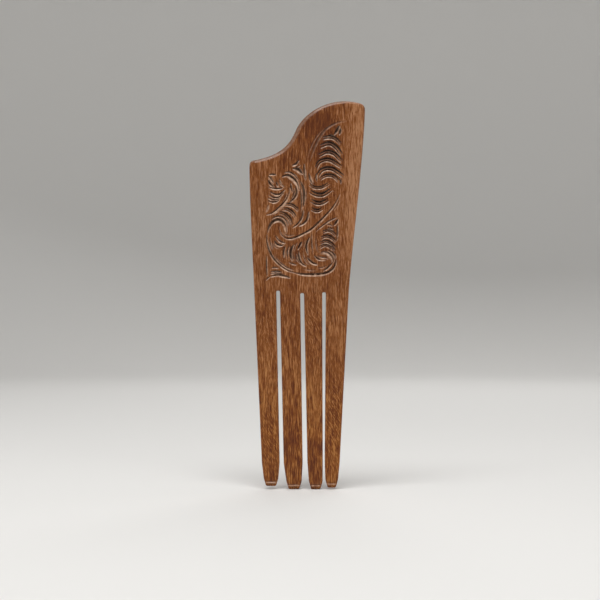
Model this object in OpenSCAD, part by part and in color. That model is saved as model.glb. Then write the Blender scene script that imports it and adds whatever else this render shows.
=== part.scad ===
// Decorative hair comb: one flat board of wood with a carved head and four long tapered teeth.
// The comb stands upright with its teeth down. The carved face looks towards -Y.
// The origin is at the closed end of the middle slot, half way through the board.

/* [Board] */
// Thickness of the board
board_t = 5; // [3.5:0.1:8]
// Height of the low shoulder above the slots
shoulder_h = 65; // [54:0.5:80]
// Height of the top of the crest above the slots
crest_h = 94; // [78:0.5:115]
// Middle slot to the left edge at the shoulder
left_top = 25.8; // [21.5:0.1:31]
// Middle slot to the left edge at the slot ends
left_root = 23.4; // [19.5:0.1:28]
// Middle slot to the right edge at the crest
right_top = 30.8; // [25.5:0.1:37]
// Middle slot to the right edge at the slot ends
right_root = 22.8; // [19:0.1:27.5]
// Corner radius of the shoulder
shoulder_r = 2.4; // [1:0.1:4]
// Corner radius at the tall end of the crest
peak_r = 3; // [1:0.1:5]

/* [Teeth] */
// Slot ends to the longest tooth tip
tooth_len = 96; // [76:0.5:116]
// How much each tip stops short of the longest one
tip_short = [1.6, 0.1, 0, 0.8]; // [0:0.1:3]
// Length of the narrowing end of each tooth
tip_h = 13; // [9:0.5:18]
// Left edge of each tooth: how far it leans in before the cut corner of the tip
tip_lean_left = [0.9, 1.3, 0.7, 0.3]; // [0:0.1:1.6]
// Right edge of each tooth: how far it leans in before the cut corner of the tip
tip_lean_right = [0.6, 0.5, 0.1, 0.8]; // [0:0.1:1.6]
// Height of the cut corners of the tips
tip_cut_h = 4; // [2:0.1:5]
// Width of the cut corners of the tips
tip_cut_w = 1.2; // [0.6:0.1:1.8]
// Radius where the cut corners meet the ends of the tips
tip_r = 1; // [0.4:0.1:1.2]
// Middle slot to the left edge where the left tooth starts to narrow
left_tip = 19.7; // [16.5:0.1:24]
// Middle slot to the right edge where the right tooth starts to narrow
right_tip = 18.4; // [15.5:0.1:22]

/* [Slots] */
// Middle of each slot at its closed end
slot_x_top = [-11.75, 0, 10.75]; // [-15:0.05:15]
// Middle of each slot where the teeth start to narrow
slot_x_tip = [-10, 1.45, 10.6]; // [-13:0.05:13]
// Width of the slots at the closed ends
slot_w_top = 1.8; // [1.4:0.05:2.4]
// Width of each slot where the teeth start to narrow
slot_w_tip = [1.95, 2.3, 0.9]; // [0.75:0.05:2.8]
// How far each closed end runs up past the middle one
slot_rise = [1.2, 0, 0.4]; // [0:0.1:2.5]
// Corner radius of the closed ends
slot_r = 0.7; // [0.3:0.05:0.9]
// How far the head reaches down between the slots
head_skirt = 2; // [1:0.1:6]

/* [Edges] */
// Width of the bevel along the sides, slots and teeth
side_bevel = 0.7; // [0.3:0.05:1]
// Width of the bevel at the low end of the crest
shoulder_bevel = 1.5; // [0.5:0.1:1.6]
// Width of the bevel on the steep part of the crest
crest_bevel = 2.2; // [0.5:0.1:2.6]
// Width of the bevel at the tall end of the crest
peak_bevel = 0.9; // [0.5:0.1:1.6]
// Depth of a bevel for each millimetre of its width
bevel_slope = 0.7; // [0.4:0.05:0.75]
// Height of the bevel across each tip
tip_bevel_h = 1.6; // [1:0.1:4]
// Depth of the bevel across each tip
tip_bevel_d = 1.2; // [0.5:0.1:1.7]

/* [Carving] */
// Depth of the carved grooves
groove_d = 0.8; // [0.3:0.05:1.5]
// Width of the grooves, as a share of their drawn width
groove_share = 1; // [0.7:0.05:1.1]

/* [Hidden] */
wood = [0.49, 0.32, 0.20];
// Fine steps for curves, corners and grooves
curve_steps = 10;
corner_steps = 4;
groove_steps = 2;
// Width of a groove's ends as a share of its middle, and how fast it swells from them
groove_end = 0.2;
groove_swell = 0.7;
// Overrun that keeps cuts clear of the surfaces that they open
over = 0.2;

narrow_z = -(tooth_len - tip_h);
// Height that the teeth are drawn up to before they are sawn level with the foot of the head
root_z = -head_skirt + 2 * side_bevel;
rise = crest_h - shoulder_h;
// Where the crest curves start at the low end and stop at the tall end, in from the corners of the board
crest_start_in = 2.3;
crest_end_in = [2.8, 1];
// How far across the head the two crest curves join, half way up the rise
crest_join = 0.394;
// Handle of both crest curves at their join, across and up, as shares of the rise
join_handle = [0.138, 0.336];
// Handle at the tall end, as shares of the width of its curve and of the rise
peak_handle = [0.41, 0.131];
// Handle at the low end, in the same way
shoulder_handle = [0.47, 0.07];
// Handles of the left side: how far out of the root or in from the top, and shares of the shoulder's height
left_low_handle = [0.9, 0.31];
left_high_handle = [0.1, 0.72];
// Handles of the right side, in the same way, with shares of the crest's height
right_low_handle = [0.9, 0.19];
right_high_handle = [1, 0.65];
// Length of each side's straight run below its rounded corner
left_corner_h = 4;
right_corner_h = 5;
// How far the rounded corners stand below the heights of the shoulder and of the crest
shoulder_drop = 0.2;
peak_drop = 1.6;

function unit(v) = v / norm(v);
function mix(a, b, t) = a + (b - a) * t;
function ease(t) = let (s = min(max(t, 0), 1)) s * s * (3 - 2 * s);

// Point at t on a cubic curve with four control points
function curve_at(p, t) =
    pow(1 - t, 3) * p[0] + 3 * t * pow(1 - t, 2) * p[1] + 3 * t * t * (1 - t) * p[2] + pow(t, 3) * p[3];

// Points of a cubic curve as sharp corners [x, z, radius 0, bevel], the bevel running from b0 to b1
function curve(p, b0, b1, first = 0) = [
    for (i = [first:curve_steps]) let (t = i / curve_steps, q = curve_at(p, t)) [q.x, q.y, 0, mix(b0, b1, t)]
];

// Arc of radius r that rounds the corner at p between its neighbours a and b
function arc(a, p, b, r, bevel) =
    let (u = unit(a - p), v = unit(b - p), half = acos(u * v) / 2)
    let (centre = p + unit(u + v) * r / sin(half), start = p + u * r / tan(half) - centre)
    let (turn = (180 - 2 * half) * sign(u.y * v.x - u.x * v.y))
    [for (i = [0:corner_steps]) let (s = turn * i / corner_steps)
        [centre.x + start.x * cos(s) - start.y * sin(s), centre.y + start.x * sin(s) + start.y * cos(s), bevel]];

function flat(p) = [p[0], p[1]];

// Outline [x, z, bevel] from corners [x, z, radius, bevel]
function outline(c) = let (n = len(c)) [
    for (i = [0:n - 1])
        each c[i][2] == 0 ? [[c[i][0], c[i][1], c[i][3]]]
            : arc(flat(c[(i + n - 1) % n]), flat(c[i]), flat(c[(i + 1) % n]), c[i][2], c[i][3])
];

// Side wall of slot k at height z: side is -1 for its left wall and 1 for its right wall
function wall(k, side, z) = let (t = z / narrow_z)
    mix(slot_x_top[k], slot_x_tip[k], t) + side * mix(slot_w_top, slot_w_tip[k], t) / 2;

// Left and right edges of tooth i at height z, and the height of its tip
function left_edge(i, z) = i == 0 ? -mix(left_root, left_tip, z / narrow_z) : wall(i - 1, 1, z);
function right_edge(i, z) = i == 3 ? mix(right_root, right_tip, z / narrow_z) : wall(i, -1, z);
function tip_z(i) = -(tooth_len - tip_short[i]);

// Corners of tooth i, anticlockwise as seen from the carved face, from the top of its left edge
function tooth_corners(i) =
    let (a = left_edge(i, narrow_z), b = right_edge(i, narrow_z))
    let (la = a + tip_lean_left[i], lb = b - tip_lean_right[i], cut_z = tip_z(i) + tip_cut_h)
    [[left_edge(i, root_z), root_z, 0, 0], [a, narrow_z, 0, 0], [la, cut_z, 0, 0],
     [la + tip_cut_w, tip_z(i), tip_r, 0], [lb - tip_cut_w, tip_z(i), tip_r, 0], [lb, cut_z, 0, 0],
     [b, narrow_z, 0, 0], [right_edge(i, root_z), root_z, 0, 0]];

// Corners of the closed end of slot k, with its mouth at the foot of the head
function slot_mouth(k) = [
    [wall(k, -1, -head_skirt), -head_skirt, 0, 0], [wall(k, -1, slot_rise[k]), slot_rise[k], slot_r, 0],
    [wall(k, 1, slot_rise[k]), slot_rise[k], slot_r, 0], [wall(k, 1, -head_skirt), -head_skirt, 0, 0]
];

shoulder = [-left_top + crest_start_in, shoulder_h];
peak = [right_top, crest_h] - crest_end_in;
middle = [mix(shoulder.x, peak.x, crest_join), shoulder_h + rise / 2];
steep = join_handle * rise;

crest_upper = [peak, peak + [-peak_handle.x * (peak.x - middle.x), peak_handle.y * rise],
               middle + steep, middle];
crest_lower = [middle, middle - steep,
               shoulder + [shoulder_handle.x * (middle.x - shoulder.x), shoulder_handle.y * rise], shoulder];
left_side = [[-left_top, shoulder_h - left_corner_h],
             [-left_top + left_high_handle.x, left_high_handle.y * shoulder_h],
             [-left_root - left_low_handle.x, left_low_handle.y * shoulder_h],
             [left_edge(0, -head_skirt), -head_skirt]];
right_side = [[right_edge(3, -head_skirt), -head_skirt],
              [right_root + right_low_handle.x, right_low_handle.y * crest_h],
              [right_top - right_high_handle.x, right_high_handle.y * crest_h],
              [right_top, crest_h - right_corner_h]];

// The rim of the head, anticlockwise from the foot of its right side to the foot of its left side
rim = outline(concat(
    curve(right_side, side_bevel, peak_bevel),
    [[right_top, crest_h - peak_drop, peak_r, peak_bevel]],
    curve(crest_upper, peak_bevel, crest_bevel),
    curve(crest_lower, crest_bevel, shoulder_bevel, 1),
    [[-left_top, shoulder_h - shoulder_drop, shoulder_r, shoulder_bevel]],
    curve(left_side, side_bevel, side_bevel)
));
foot = outline(concat(slot_mouth(0), slot_mouth(1), slot_mouth(2)));

// Flat shape given, as a plate from y = from to y = to
module plate(from, to) {
    translate([0, to, 0]) rotate([90, 0, 0]) linear_extrude(to - from) children();
}

// Everything given is cut from the carved face and from the back
module both_faces() {
    children();
    mirror([0, 1, 0]) children();
}

// Inward direction at point i of the rim
function inward(o, i) =
    let (p = flat(o[i]), a = flat(o[max(i - 1, 0)]), b = flat(o[min(i + 1, len(o) - 1)]))
    let (d = unit(b - a)) [-d.y, d.x];

// Strip with a three-cornered section that planes the bevel off the carved face, along the rim
module rim_bevel(o) {
    n = len(o);
    rows = [for (i = [0:n - 1]) let (down = i == 0 || i == n - 1 ? [0, -over] : [0, 0])
        let (p = flat(o[i]) + down, q = inward(o, i), b = o[i][2] + over)
        [[p + q * b, -over * bevel_slope], [p - q * over, b * bevel_slope], [p - q * over, -over * bevel_slope]]];
    polyhedron(
        points = [for (row = rows, c = row) [c[0].x, c[1] - board_t / 2, c[0].y]],
        faces = concat([[2, 1, 0], [3 * n - 3, 3 * n - 2, 3 * n - 1]],
            [for (i = [0:n - 2], k = [0:2])
                let (a = 3 * i + k, b = 3 * i + (k + 1) % 3) each [[a, b + 3, a + 3], [a, b, b + 3]]])
    );
}

// Wedge that bevels the end of tooth i on the carved face
module tip_wedge(i) {
    grow = over / tip_bevel_h;
    translate([-left_top, -board_t / 2, tip_z(i)]) rotate([90, 0, 90]) linear_extrude(left_top + right_top)
        polygon([[-tip_bevel_d * grow, tip_bevel_h + over], [-tip_bevel_d * grow, -over],
                 [tip_bevel_d * (1 + grow), -over]]);
}

module tooth(i) {
    points = [for (q = outline(tooth_corners(i))) flat(q)];
    depth = side_bevel * bevel_slope;
    color(wood) difference() {
        hull() {
            plate(depth - board_t / 2, board_t / 2 - depth) polygon(points);
            plate(-board_t / 2, board_t / 2) offset(delta = -side_bevel) polygon(points);
        }
        both_faces() tip_wedge(i);
        translate([-left_top, -board_t, -head_skirt]) cube([left_top + right_top, 2 * board_t, crest_h]);
    }
}

// Carving. Each groove is [width, points], drawn in millimetres on a head of the sizes below
// and spread to the head's own sizes.
drawn_left = 23.4;
drawn_right = 22.8;
drawn_shoulder = 65;
drawn_crest = 94;
// The spread upwards turns from the shoulder's to the crest's across this stretch
drawn_turn = [-10, 10];

// Tall leaf in the upper right corner
leaf = [
    [1.0, [[21.6, 84.4], [16.5, 83.2], [11.4, 80.2], [8.0, 75.4], [5.6, 70.4], [3.8, 64.8]]],
    [0.9, [[1.0, 63.0], [1.3, 58.6], [2.0, 55.4]]],
    [0.9, [[3.4, 58.2], [4.2, 55.8], [5.4, 53.6]]],
    [1.1, [[18.0, 81.6], [17.0, 79.6], [15.7, 77.8]]],
    [0.9, [[18.8, 80.2], [18.5, 78.9], [18.1, 77.5]]],
];
// Arched notches that fill the leaf
leaf_notches = [
    [1.5, [[10.3, 75.8], [13.4, 76.5], [16.4, 75.4], [18.5, 73.2]]],
    [1.9, [[9.3, 71.8], [13.0, 72.9], [16.4, 71.1], [18.8, 68.2]]],
    [1.5, [[8.6, 67.4], [12.2, 68.5], [15.9, 67.6], [18.9, 64.6]]],
    [1.6, [[7.2, 60.9], [8.8, 64.1], [13.4, 64.9], [18.9, 61.6]]],
    [1.7, [[7.8, 57.2], [10.0, 60.0], [14.6, 60.4], [19.9, 56.8]]],
    [1.4, [[9.0, 55.8], [12.2, 57.2], [15.4, 56.8], [17.6, 54.7]]],
];
// Hanging notches below the leaf
bowl_notches = [
    [1.3, [[3.6, 52.8], [5.9, 51.4], [9.6, 51.5], [13.0, 53.4]]],
    [1.8, [[3.9, 49.2], [7.2, 47.8], [10.6, 48.0], [14.3, 50.2]]],
    [1.7, [[4.3, 45.0], [7.0, 43.8], [9.8, 43.9], [12.6, 45.4]]],
    [1.2, [[4.6, 41.2], [6.4, 40.2], [8.2, 40.1], [10.2, 41.4]]],
];
// Long stem that sweeps down to the left and curls into the hook
stem = [
    [0.9, [[18.7, 48.4], [17.2, 45.0], [14.9, 41.3], [11.8, 37.9], [8.2, 34.3], [4.5, 31.0], [0.8, 28.9],
           [-3.0, 27.2], [-6.2, 26.4], [-8.8, 27.2], [-10.7, 29.4], [-11.4, 32.4]]],
    [0.7, [[17.6, 37.2], [14.4, 36.0], [11.2, 34.0], [8.4, 31.8], [6.6, 30.2]]],
];
hook = [
    [1.5, [[-17.0, 30.0], [-16.3, 32.2], [-14.6, 34.6], [-11.8, 35.8], [-9.4, 34.6], [-8.2, 31.8], [-8.0, 29.6]]],
    [0.8, [[-15.0, 36.2], [-12.2, 37.4], [-9.4, 36.7], [-7.6, 34.8], [-7.0, 32.4]]],
];
// Border that runs down the left side and along the foot of the panel
border = [
    [1.2, [[-17.4, 29.2], [-17.2, 25.4], [-16.3, 21.8], [-14.8, 18.4], [-12.4, 15.2], [-9.4, 12.6], [-6.4, 10.9],
           [-2.7, 9.8], [1.6, 9.2], [6.4, 9.1], [10.2, 9.5], [12.9, 10.4], [15.0, 11.9], [16.3, 14.4]]],
    [0.7, [[-13.6, 17.8], [-10.8, 14.9], [-7.4, 12.1]]],
    [0.8, [[17.1, 34.2], [17.2, 31.0], [17.0, 27.8]]],
];
curl = [
    [1.2, [[9.0, 19.5], [11.4, 19.7], [13.8, 18.2], [15.0, 15.9], [14.2, 13.9], [12.4, 12.2], [10.4, 10.9]]],
    [0.9, [[5.4, 19.0], [7.0, 17.0], [9.2, 16.3], [11.8, 16.4]]],
    [0.9, [[1.4, 18.0], [2.8, 16.4], [5.2, 14.9], [8.8, 14.2]]],
    [0.9, [[-1.2, 15.8], [0.2, 14.4], [1.8, 13.5]]],
    [0.8, [[-5.6, 15.6], [-4.0, 14.7], [-2.2, 14.3]]],
    [1.0, [[12.2, 21.0], [14.6, 19.8], [16.1, 18.2], [16.6, 16.4]]],
];
lower_notches = [
    [0.8, [[12.4, 31.9], [13.8, 31.8], [15.2, 31.2]]],
    [1.2, [[10.2, 29.6], [12.6, 30.1], [14.6, 29.6], [16.2, 28.4]]],
    [1.4, [[9.4, 26.6], [11.6, 27.5], [14.0, 26.9], [16.4, 25.0]]],
    [1.4, [[8.8, 24.2], [11.2, 25.0], [13.8, 24.3], [16.2, 22.3]]],
    [1.4, [[8.6, 21.9], [10.9, 22.9], [13.4, 22.3], [16.0, 20.5]]],
    [0.9, [[17.4, 35.8], [16.8, 34.9], [16.1, 33.9]]],
];
feathers = [
    [1.0, [[-13.4, 25.4], [-12.2, 24.1], [-10.4, 23.3], [-8.8, 23.5]]],
    [0.9, [[-11.7, 25.7], [-10.2, 24.9], [-8.2, 24.4]]],
    [1.1, [[-8.9, 22.4], [-9.4, 20.2], [-9.1, 18.2]]],
    [1.2, [[-7.4, 22.6], [-7.2, 19.8], [-5.2, 16.4]]],
    [1.0, [[-4.1, 23.4], [-5.2, 21.4], [-5.5, 19.2]]],
    [1.0, [[-0.6, 24.9], [-1.4, 23.3], [-2.0, 21.9]]],
    [1.1, [[3.4, 26.9], [2.0, 24.3], [2.1, 21.4], [3.0, 19.0]]],
    [0.7, [[4.5, 29.6], [4.2, 26.6], [4.8, 23.4]]],
];
slanted_notches = [
    [1.1, [[-8.0, 43.0], [-5.0, 43.1], [-2.2, 41.1]]],
    [1.5, [[-9.2, 40.7], [-6.2, 40.6], [-3.4, 38.0]]],
    [1.5, [[-11.2, 39.0], [-7.9, 38.2], [-5.3, 35.2]]],
];
// Round head of the scroll in the upper left
scroll = [
    [1.3, [[-9.6, 57.0], [-7.2, 57.6], [-4.4, 56.2], [-2.3, 53.7], [-1.5, 51.0]]],
    [0.8, [[-8.8, 59.0], [-6.2, 59.1], [-3.4, 57.6]]],
    [1.5, [[-0.9, 54.6], [0.5, 51.2], [0.9, 47.0], [0.7, 43.0]]],
    [0.9, [[0.6, 40.6], [-0.2, 37.0], [-2.0, 34.2], [-4.9, 31.9]]],
    [1.0, [[3.2, 39.4], [2.4, 36.2], [0.7, 34.0], [-1.5, 32.8]]],
    [0.9, [[-5.6, 53.6], [-5.2, 51.4], [-4.5, 49.4]]],
    [1.1, [[-2.9, 51.8], [-2.6, 49.2], [-3.6, 46.6], [-6.4, 43.9]]],
    [0.9, [[-6.1, 48.8], [-7.3, 45.7], [-9.6, 43.0], [-12.6, 40.2], [-15.2, 38.6], [-17.5, 38.2]]],
];
side_notches = [
    [0.9, [[-16.0, 51.8], [-13.0, 51.2], [-9.6, 51.2]]],
    [1.2, [[-15.8, 49.6], [-13.1, 48.2], [-10.6, 48.5], [-8.5, 50.2]]],
    [1.1, [[-16.8, 47.6], [-14.2, 46.5], [-11.6, 46.6], [-9.2, 48.4]]],
    [1.0, [[-16.8, 45.2], [-14.4, 44.3], [-12.0, 44.8]]],
    [1.2, [[-16.3, 55.2], [-15.2, 53.6], [-14.0, 52.6]]],
    [0.9, [[-15.8, 57.8], [-14.5, 57.9], [-13.0, 57.8]]],
    [0.8, [[-10.9, 54.8], [-10.2, 53.2], [-9.2, 52.3]]],
];
gap_cuts = [
    [0.9, [[-4.6, 62.6], [-3.2, 63.2], [-1.9, 64.4]]],
    [1.4, [[-4.2, 60.9], [-1.7, 60.2], [0.2, 58.2]]],
];
// Arched cuts in the lower left corner
foot_cuts = [
    [0.8, [[-17.4, 18.0], [-17.4, 13.4], [-17.2, 9.0]]],
    [0.8, [[-14.8, 12.3], [-13.2, 12.7], [-11.8, 12.1]]],
    [0.9, [[-14.9, 10.3], [-12.0, 10.5], [-8.6, 9.8]]],
    [1.2, [[-15.0, 8.2], [-12.2, 8.8], [-9.2, 8.4], [-6.0, 7.4]]],
];

carving = concat(leaf, leaf_notches, bowl_notches, stem, hook, border, curl, lower_notches, feathers,
                 slanted_notches, scroll, side_notches, gap_cuts, foot_cuts);

// A drawn point on the head at its own sizes
function spread(p) =
    let (across = p.x < 0 ? left_root / drawn_left : right_root / drawn_right)
    let (turn = ease((p.x - drawn_turn[0]) / (drawn_turn[1] - drawn_turn[0])))
    [p.x * across, p.y * mix(shoulder_h / drawn_shoulder, crest_h / drawn_crest, turn)];

// Smooth line through the points of a groove
function through(p) = let (n = len(p)) [
    for (i = [0:n - 2], j = [0:(i == n - 2 ? groove_steps : groove_steps - 1)])
        let (a = p[max(i - 1, 0)], b = p[i], c = p[i + 1], d = p[min(i + 2, n - 1)], t = j / groove_steps)
        (2 * b + (c - a) * t + (2 * a - 5 * b + 4 * c - d) * t * t + (3 * b - a - 3 * c + d) * t * t * t) / 2
];

// Half width of a groove at share t of its length: full in the middle and narrow at its ends
function groove_half(w, t) = groove_share * w / 2 * mix(groove_end, 1, pow(sin(180 * t), groove_swell));

// Side direction of a line at point i
function beside(p, i) =
    let (d = unit(p[min(i + 1, len(p) - 1)] - p[max(i - 1, 0)])) [-d.y, d.x];

module groove(w, points) {
    line = through([for (p = points) spread(p)]);
    last = len(line) - 1;
    edge = [for (i = [0:last]) beside(line, i) * groove_half(w, i / last)];
    plate(-board_t / 2 - over, -board_t / 2 + groove_d)
        polygon(concat([for (i = [0:last]) line[i] + edge[i]], [for (i = [last:-1:0]) line[i] - edge[i]]));
}

module head() {
    color(wood) difference() {
        plate(-board_t / 2, board_t / 2) polygon([for (p = concat(rim, foot)) flat(p)]);
        both_faces() rim_bevel(rim);
        for (g = carving) groove(g[0], g[1]);
    }
}

module tooth_1() tooth(0);
module tooth_2() tooth(1);
module tooth_3() tooth(2);
module tooth_4() tooth(3);

head();
tooth_1();
tooth_2();
tooth_3();
tooth_4();
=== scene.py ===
"""Oiled hardwood hair comb: a carved head and four long tapered teeth, worked from one flat board.

The comb stands upright with its teeth down and its carved face towards -Y. The origin is at the
closed end of the middle slot, half way through the board. Sizes are in millimetres until a finished
mesh is written out in metres.
"""

import logging
import math
from dataclasses import dataclass, field
from typing import NamedTuple

import bmesh
import bpy
import numpy as np
from mathutils import Matrix, Vector, noise


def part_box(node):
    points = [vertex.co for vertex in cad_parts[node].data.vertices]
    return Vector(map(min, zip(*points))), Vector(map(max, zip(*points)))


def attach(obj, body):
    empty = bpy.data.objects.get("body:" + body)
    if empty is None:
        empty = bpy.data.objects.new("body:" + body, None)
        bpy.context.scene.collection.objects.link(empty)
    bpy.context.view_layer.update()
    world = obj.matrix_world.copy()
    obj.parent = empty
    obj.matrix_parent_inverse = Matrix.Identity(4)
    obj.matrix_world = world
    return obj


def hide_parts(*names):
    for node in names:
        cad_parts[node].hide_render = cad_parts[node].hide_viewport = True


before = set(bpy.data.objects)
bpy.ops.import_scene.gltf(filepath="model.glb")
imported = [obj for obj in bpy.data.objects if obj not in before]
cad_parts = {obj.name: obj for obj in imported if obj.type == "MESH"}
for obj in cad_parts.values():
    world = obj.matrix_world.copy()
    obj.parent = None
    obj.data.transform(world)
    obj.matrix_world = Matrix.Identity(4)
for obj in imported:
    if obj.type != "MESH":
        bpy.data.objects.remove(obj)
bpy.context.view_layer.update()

LOG = logging.getLogger("comb")
MM = 0.001

# Places closer together than this, in millimetres, are the same
SAME = 1e-4


def mix(a: float, b: float, t: float) -> float:
    """Returns the value at share t of the way from a to b."""
    return a + (b - a) * t


def ease(t: float) -> float:
    """Returns t limited to 0..1, with a soft start and end."""
    s = min(max(t, 0.0), 1.0)
    return s * s * (3 - 2 * s)


def linear(srgb: tuple[float, float, float]) -> tuple[float, float, float, float]:
    """Turns a display colour into the linear colour that shaders use.

    Args:
        srgb: Red, green and blue, from 0 to 1.

    Returns:
        Linear red, green and blue, and an alpha of 1.
    """
    turned = [c / 12.92 if c <= 0.04045 else ((c + 0.055) / 1.055) ** 2.4 for c in srgb]
    return (*turned, 1.0)


# ---------------------------------------------------------------------------- outline of the board


class Station(NamedTuple):
    """One point of the outline, with the width of the rounded edge there."""

    x: float
    z: float
    edge: float


def cubic(handles: list[tuple[float, float]], edges: tuple[float, float], steps: int,
          first: int = 0) -> list[Station]:
    """Walks along a cubic curve.

    Args:
        handles: The four control points, as (x, z).
        edges: Width of the rounded edge at the start and at the end.
        steps: Number of steps along the curve.
        first: The step to start from.

    Returns:
        The stations along the curve.
    """
    made = []
    for i in range(first, steps + 1):
        t = i / steps
        share = ((1 - t) ** 3, 3 * t * (1 - t) ** 2, 3 * t * t * (1 - t), t**3)
        x, z = (sum(s * p[k] for s, p in zip(share, handles)) for k in (0, 1))
        made.append(Station(x, z, mix(*edges, t)))
    return made


def rounded(before: Station, corner: Station, after: Station, radius: float, steps: int) -> list[Station]:
    """Rounds one corner of the outline.

    Args:
        before: The point before the corner.
        corner: The sharp corner.
        after: The point after the corner.
        radius: Radius of the arc.
        steps: Number of steps along the arc.

    Returns:
        The stations along the arc.
    """
    here = Vector((corner.x, corner.z))
    to_before = (Vector((before.x, before.z)) - here).normalized()
    to_after = (Vector((after.x, after.z)) - here).normalized()
    half = to_before.angle(to_after) / 2
    centre = here + (to_before + to_after).normalized() * radius / math.sin(half)
    start = here + to_before * radius / math.tan(half) - centre
    turn = (math.pi - 2 * half) * (-1 if to_before.cross(to_after) > 0 else 1)
    made = []
    for i in range(steps + 1):
        point = centre + Matrix.Rotation(turn * i / steps, 2) @ start
        made.append(Station(point.x, point.y, corner.edge))
    return made


def box_mm(node: str) -> tuple[Vector, Vector]:
    """Returns the lowest and highest corner of a CAD node, in millimetres."""
    low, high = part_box(node)
    return low / MM, high / MM


@dataclass
class BoardPlan:
    """Plan of the comb as seen from its carved face. Outer sizes come from the frame."""

    shoulder_h: float = 65.0
    left_root: float = 23.4
    right_root: float = 22.8
    shoulder_r: float = 2.4
    peak_r: float = 3.0
    narrow_h: float = 83.0
    lean_left: tuple[float, ...] = (0.9, 1.3, 0.7, 0.3)
    lean_right: tuple[float, ...] = (0.6, 0.5, 0.1, 0.8)
    tip_cut_h: float = 4.0
    tip_cut_w: float = 1.2
    tip_r: float = 1.0
    tip_bow_r: float = 5.0
    tip_bevel_h: float = 1.6
    tip_bevel_d: float = 1.2
    left_tip: float = 19.7
    right_tip: float = 18.4
    slot_x_top: tuple[float, ...] = (-11.75, 0.0, 10.75)
    slot_x_tip: tuple[float, ...] = (-10.0, 1.45, 10.6)
    slot_w_top: float = 1.8
    slot_w_tip: tuple[float, ...] = (1.95, 2.3, 0.9)
    slot_rise: tuple[float, ...] = (1.2, 0.0, 0.4)
    slot_r: float = 0.7
    side_edge: float = 0.75
    shoulder_edge: float = 1.5
    crest_edge: float = 2.3
    peak_edge: float = 1.0
    crest_start_in: float = 2.3
    crest_end_in: tuple[float, float] = (2.8, 1.0)
    crest_join: float = 0.394
    join_handle: tuple[float, float] = (0.138, 0.336)
    peak_handle: tuple[float, float] = (0.41, 0.131)
    shoulder_handle: tuple[float, float] = (0.47, 0.07)
    left_low_handle: tuple[float, float] = (0.9, 0.31)
    left_high_handle: tuple[float, float] = (0.1, 0.72)
    right_low_handle: tuple[float, float] = (0.9, 0.19)
    right_high_handle: tuple[float, float] = (1.0, 0.65)
    left_corner_h: float = 4.0
    right_corner_h: float = 5.0
    shoulder_drop: float = 0.2
    peak_drop: float = 1.6
    curve_steps: int = 22
    corner_steps: int = 6
    teeth: int = 4

    def __post_init__(self) -> None:
        """Reads the outer sizes of the board from the frame."""
        low, high = box_mm("head")
        self.crest_h = high.z
        self.left_top = -low.x
        self.right_top = high.x
        self.board_t = high.y - low.y
        self.foot_z = low.z
        self.tip_z = [box_mm(f"tooth_{i + 1}")[0].z for i in range(self.teeth)]

    def wall(self, slot: int, side: int, z: float) -> float:
        """Returns where one side wall (-1 left, 1 right) of a slot is at height z."""
        t = -z / self.narrow_h
        middle = mix(self.slot_x_top[slot], self.slot_x_tip[slot], t)
        return middle + side * mix(self.slot_w_top, self.slot_w_tip[slot], t) / 2

    def left_edge(self, tooth: int, z: float) -> float:
        """Returns where the left edge of a tooth is at height z."""
        if tooth == 0:
            return -mix(self.left_root, self.left_tip, -z / self.narrow_h)
        return self.wall(tooth - 1, 1, z)

    def right_edge(self, tooth: int, z: float) -> float:
        """Returns where the right edge of a tooth is at height z."""
        if tooth == self.teeth - 1:
            return mix(self.right_root, self.right_tip, -z / self.narrow_h)
        return self.wall(tooth, -1, z)

    def rim(self) -> list[Station]:
        """Returns the rim of the head, from the foot of its right side over the crest to its left foot."""
        rise = self.crest_h - self.shoulder_h
        low_end = Vector((-self.left_top + self.crest_start_in, self.shoulder_h))
        peak = Vector((self.right_top - self.crest_end_in[0], self.crest_h - self.crest_end_in[1]))
        middle = Vector((mix(low_end.x, peak.x, self.crest_join), self.shoulder_h + rise / 2))
        steep = Vector(self.join_handle) * rise
        over_peak = peak + Vector((self.peak_handle[0] * (middle.x - peak.x), self.peak_handle[1] * rise))
        up_shoulder = low_end + Vector((self.shoulder_handle[0] * (middle.x - low_end.x),
                                        self.shoulder_handle[1] * rise))
        right = [(self.right_edge(self.teeth - 1, self.foot_z), self.foot_z),
                 (self.right_root + self.right_low_handle[0], self.right_low_handle[1] * self.crest_h),
                 (self.right_top - self.right_high_handle[0], self.right_high_handle[1] * self.crest_h),
                 (self.right_top, self.crest_h - self.right_corner_h)]
        left = [(-self.left_top, self.shoulder_h - self.left_corner_h),
                (-self.left_top + self.left_high_handle[0], self.left_high_handle[1] * self.shoulder_h),
                (-self.left_root - self.left_low_handle[0], self.left_low_handle[1] * self.shoulder_h),
                (self.left_edge(0, self.foot_z), self.foot_z)]
        up = cubic(right, (self.side_edge, self.peak_edge), self.curve_steps)
        over = cubic([peak, over_peak, middle + steep, middle], (self.peak_edge, self.crest_edge),
                     self.curve_steps)
        down = cubic([middle, middle - steep, up_shoulder, low_end], (self.crest_edge, self.shoulder_edge),
                     self.curve_steps, first=1)
        side = cubic(left, (self.side_edge, self.side_edge), self.curve_steps)
        peak_corner = Station(self.right_top, self.crest_h - self.peak_drop, self.peak_edge)
        shoulder_corner = Station(-self.left_top, self.shoulder_h - self.shoulder_drop,
                                  mix(self.side_edge, self.shoulder_edge, 0.5))
        return (up + rounded(up[-1], peak_corner, over[0], self.peak_r, self.corner_steps) + over + down
                + rounded(down[-1], shoulder_corner, side[0], self.shoulder_r, self.corner_steps) + side)

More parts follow.
